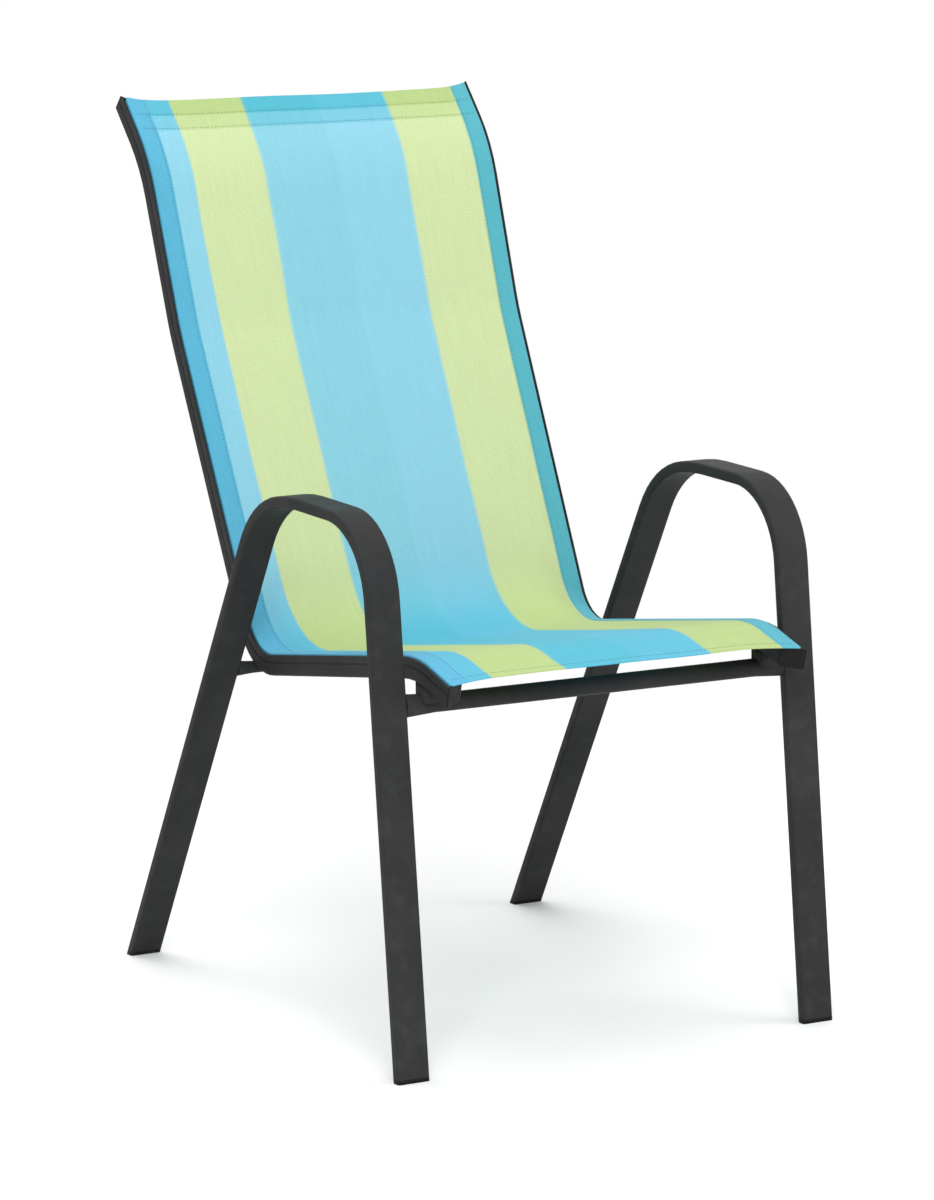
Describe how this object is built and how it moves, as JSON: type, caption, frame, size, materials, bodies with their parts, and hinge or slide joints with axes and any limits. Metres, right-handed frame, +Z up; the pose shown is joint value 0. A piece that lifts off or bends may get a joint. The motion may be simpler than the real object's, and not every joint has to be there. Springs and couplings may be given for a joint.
{
  "type": "sling patio chair",
  "caption": "Outdoor armchair with a steel tube frame and one striped sheet of fabric stretched between two bent side rails",
  "frame": {"origin": "on the floor under the middle of the chair's bounding box", "axes": "+Z up, the sitter faces -Y, X runs across the chair; left and right are as seen from the front"},
  "size_m": [0.518, 0.7536, 0.9414],
  "materials": {
    "frame": "dark charcoal powder coat, satin",
    "plastic": "moulded black plastic",
    "rod": "extruded plastic rod",
    "sling": "coated mesh weave in blue, aqua and lime stripes"
  },
  "bodies": {
    "root": {"side_frame_left": "frame", "side_frame_right": "frame", "front_crossbar": "frame", "rear_crossbar": "frame", "back_crossbar": "frame", "rail_saddle_left": "frame", "rail_saddle_right": "frame", "sling_rail_left": "frame", "sling_rail_right": "frame", "front_glide_left": "plastic", "front_glide_right": "plastic", "rear_glide_left": "plastic", "rear_glide_right": "plastic", "rail_front_cap_left": "plastic", "rail_front_cap_right": "plastic", "rail_top_cap_left": "plastic", "rail_top_cap_right": "plastic", "spline_rod_left": "rod", "spline_rod_right": "rod", "sling": "sling"}
  },
  "joints": []
}
